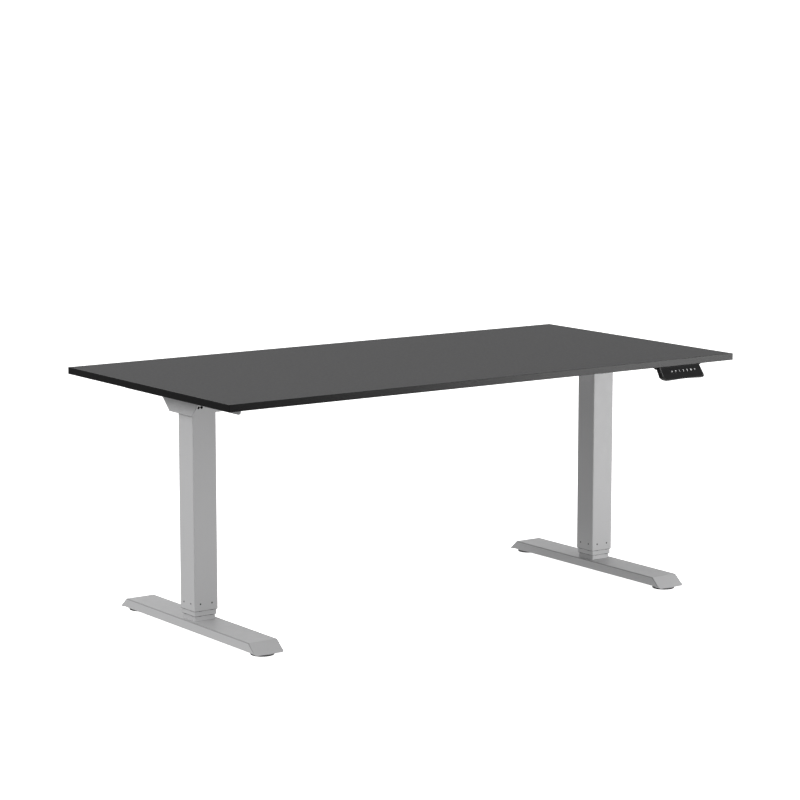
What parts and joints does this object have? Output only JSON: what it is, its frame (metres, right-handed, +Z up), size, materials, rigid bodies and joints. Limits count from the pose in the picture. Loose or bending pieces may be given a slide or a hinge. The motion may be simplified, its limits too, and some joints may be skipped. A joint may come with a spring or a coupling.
{
  "type": "height adjustable standing desk",
  "caption": "Electric sit-stand desk: flat rectangular top on a steel frame with two telescopic three-stage columns on long flat feet, and a keypad under the front edge.",
  "frame": {"origin": "on the floor, at the middle of the whole object's footprint, keypad included", "axes": "+X along the desktop, -Y towards the user, +Z up"},
  "size_m": [1.6, 0.824, 0.647],
  "materials": {
    "laminate": "satin melamine surface, charcoal",
    "edge_band": "satin edge band, near black",
    "silver_paint": "satin light grey powder coat",
    "black_steel": "black oxide",
    "zinc_steel": "zinc plated",
    "ground_steel": "rolled and greased",
    "casting": "as cast",
    "motor_can": "satin black",
    "bronze": "machined",
    "glide_plastic": "moulded, slippery",
    "nut_plastic": "moulded acetal",
    "box_plastic": "fine texture",
    "board": "solder mask",
    "cable": "matt sheath",
    "pad_plastic": "moulded, matt",
    "handset_shell": "satin black",
    "handset_gloss": "gloss black panel",
    "key_cap": "gloss black, printed white symbol"
  },
  "bodies": {
    "left_foot": {"left_foot_beam": "silver_paint", "left_foot_bolts": "zinc_steel", "left_inner_tube": "silver_paint", "left_inner_glides": "glide_plastic", "left_spindle_nut": "nut_plastic"},
    "left_stage": {"left_middle_tube": "silver_paint", "left_middle_glides": "glide_plastic"},
    "left_hollow_screw": {"left_hollow_spindle": "ground_steel"},
    "left_drive_screw": {"left_drive_spindle": "ground_steel", "left_worm_wheel": "bronze"},
    "left_rotor": {"left_worm": "ground_steel"},
    "left_front_pad": {"left_front_leveller": "pad_plastic"},
    "left_rear_pad": {"left_rear_leveller": "pad_plastic"},
    "desk": {"desktop_board": "laminate", "desktop_edge_bands": "edge_band", "desktop_screws": "zinc_steel", "crossbeam": "silver_paint", "frame_bolts": "black_steel", "control_box_base": "box_plastic", "control_box_lid": "box_plastic", "control_board": "board", "left_motor_lead": "cable", "right_motor_lead": "cable", "handset_lead": "cable", "lead_clips": "box_plastic", "handset_bracket": "handset_shell", "handset_body": "handset_shell", "handset_face": "handset_gloss", "left_bracket": "silver_paint", "left_head_housing": "silver_paint", "left_gearbox": "casting", "left_motor": "motor_can", "left_outer_tube": "silver_paint", "left_outer_glides": "glide_plastic", "right_bracket": "silver_paint", "right_head_housing": "silver_paint", "right_gearbox": "casting", "right_motor": "motor_can", "right_outer_tube": "silver_paint", "right_outer_glides": "glide_plastic"},
    "right_foot": {"right_foot_beam": "silver_paint", "right_foot_bolts": "zinc_steel", "right_inner_tube": "silver_paint", "right_inner_glides": "glide_plastic", "right_spindle_nut": "nut_plastic"},
    "right_stage": {"right_middle_tube": "silver_paint", "right_middle_glides": "glide_plastic"},
    "right_hollow_screw": {"right_hollow_spindle": "ground_steel"},
    "right_drive_screw": {"right_drive_spindle": "ground_steel", "right_worm_wheel": "bronze"},
    "right_rotor": {"right_worm": "ground_steel"},
    "right_front_pad": {"right_front_leveller": "pad_plastic"},
    "right_rear_pad": {"right_rear_leveller": "pad_plastic"},
    "key_up": {"key_up": "key_cap"},
    "key_down": {"key_down": "key_cap"},
    "key_one": {"key_one": "key_cap"},
    "key_two": {"key_two": "key_cap"},
    "key_three": {"key_three": "key_cap"},
    "key_store": {"key_store": "key_cap"},
    "key_lock": {"key_lock": "key_cap"}
  },
  "joints": [
    {"name": "left_stage_slide", "type": "slide", "parent": "left_foot", "child": "left_stage", "axis": [0, 0, 1], "range_m": [0, 0.325]},
    {"name": "lift", "type": "slide", "parent": "left_stage", "child": "desk", "axis": [0, 0, 1], "range_m": [0, 0.325]},
    {"name": "right_stage_slide", "type": "slide", "parent": "desk", "child": "right_stage", "axis": [0, 0, -1], "range_m": [0, 0.325]},
    {"name": "right_foot_slide", "type": "slide", "parent": "right_stage", "child": "right_foot", "axis": [0, 0, -1], "range_m": [0, 0.325]},
    {"name": "left_hollow_screw_turn", "type": "hinge", "parent": "left_stage", "child": "left_hollow_screw", "pos_m": [-0.65, 0.012, 0.5], "axis": [0, 0, 1], "range_deg": [0, 14626]},
    {"name": "left_drive_screw_turn", "type": "hinge", "parent": "desk", "child": "left_drive_screw", "pos_m": [-0.65, 0.012, 0.59], "axis": [0, 0, 1], "range_deg": [0, 29251]},
    {"name": "left_rotor_turn", "type": "hinge", "parent": "desk", "child": "left_rotor", "pos_m": [-0.65, 0.027, 0.59], "axis": [1, 0, 0], "range_deg": [0, 819001]},
    {"name": "left_front_pad_screw", "type": "slide", "parent": "left_foot", "child": "left_front_pad", "axis": [0, 0, 1], "range_m": [-0.01, 0]},
    {"name": "left_rear_pad_screw", "type": "slide", "parent": "left_foot", "child": "left_rear_pad", "axis": [0, 0, 1], "range_m": [-0.01, 0]},
    {"name": "right_hollow_screw_turn", "type": "hinge", "parent": "right_stage", "child": "right_hollow_screw", "pos_m": [0.65, 0.012, 0.5], "axis": [0, 0, 1], "range_deg": [0, 14626]},
    {"name": "right_drive_screw_turn", "type": "hinge", "parent": "desk", "child": "right_drive_screw", "pos_m": [0.65, 0.012, 0.59], "axis": [0, 0, 1], "range_deg": [0, 29251]},
    {"name": "right_rotor_turn", "type": "hinge", "parent": "desk", "child": "right_rotor", "pos_m": [0.65, -0.003, 0.59], "axis": [-1, 0, 0], "range_deg": [0, 819001]},
    {"name": "right_front_pad_screw", "type": "slide", "parent": "right_foot", "child": "right_front_pad", "axis": [0, 0, 1], "range_m": [-0.01, 0]},
    {"name": "right_rear_pad_screw", "type": "slide", "parent": "right_foot", "child": "right_rear_pad", "axis": [0, 0, 1], "range_m": [-0.01, 0]},
    {"name": "key_up_press", "type": "slide", "parent": "desk", "child": "key_up", "axis": [0, 0.8093, -0.5874], "range_m": [0, 0.0008], "stiffness_N_per_m": 500, "springref_m": -0.0004},
    {"name": "key_down_press", "type": "slide", "parent": "desk", "child": "key_down", "axis": [0, 0.8093, -0.5874], "range_m": [0, 0.0008], "stiffness_N_per_m": 500, "springref_m": -0.0004},
    {"name": "key_one_press", "type": "slide", "parent": "desk", "child": "key_one", "axis": [0, 0.8093, -0.5874], "range_m": [0, 0.0008], "stiffness_N_per_m": 500, "springref_m": -0.0004},
    {"name": "key_two_press", "type": "slide", "parent": "desk", "child": "key_two", "axis": [0, 0.8093, -0.5874], "range_m": [0, 0.0008], "stiffness_N_per_m": 500, "springref_m": -0.0004},
    {"name": "key_three_press", "type": "slide", "parent": "desk", "child": "key_three", "axis": [0, 0.8093, -0.5874], "range_m": [0, 0.0008], "stiffness_N_per_m": 500, "springref_m": -0.0004},
    {"name": "key_store_press", "type": "slide", "parent": "desk", "child": "key_store", "axis": [0, 0.8093, -0.5874], "range_m": [0, 0.0008], "stiffness_N_per_m": 500, "springref_m": -0.0004},
    {"name": "key_lock_press", "type": "slide", "parent": "desk", "child": "key_lock", "axis": [0, 0.8093, -0.5874], "range_m": [0, 0.0008], "stiffness_N_per_m": 500, "springref_m": -0.0004}
  ],
  "couplings": [
    {"joint": "left_stage_slide", "follows": "lift", "ratio": 1},
    {"joint": "right_stage_slide", "follows": "lift", "ratio": 1},
    {"joint": "right_foot_slide", "follows": "lift", "ratio": 1},
    {"joint": "left_hollow_screw_turn", "follows": "lift", "rad_per_m": 785.4},
    {"joint": "left_drive_screw_turn", "follows": "lift", "rad_per_m": 1570.8},
    {"joint": "left_rotor_turn", "follows": "lift", "rad_per_m": 43982},
    {"joint": "right_hollow_screw_turn", "follows": "lift", "rad_per_m": 785.4},
    {"joint": "right_drive_screw_turn", "follows": "lift", "rad_per_m": 1570.8},
    {"joint": "right_rotor_turn", "follows": "lift", "rad_per_m": 43982}
  ]
}
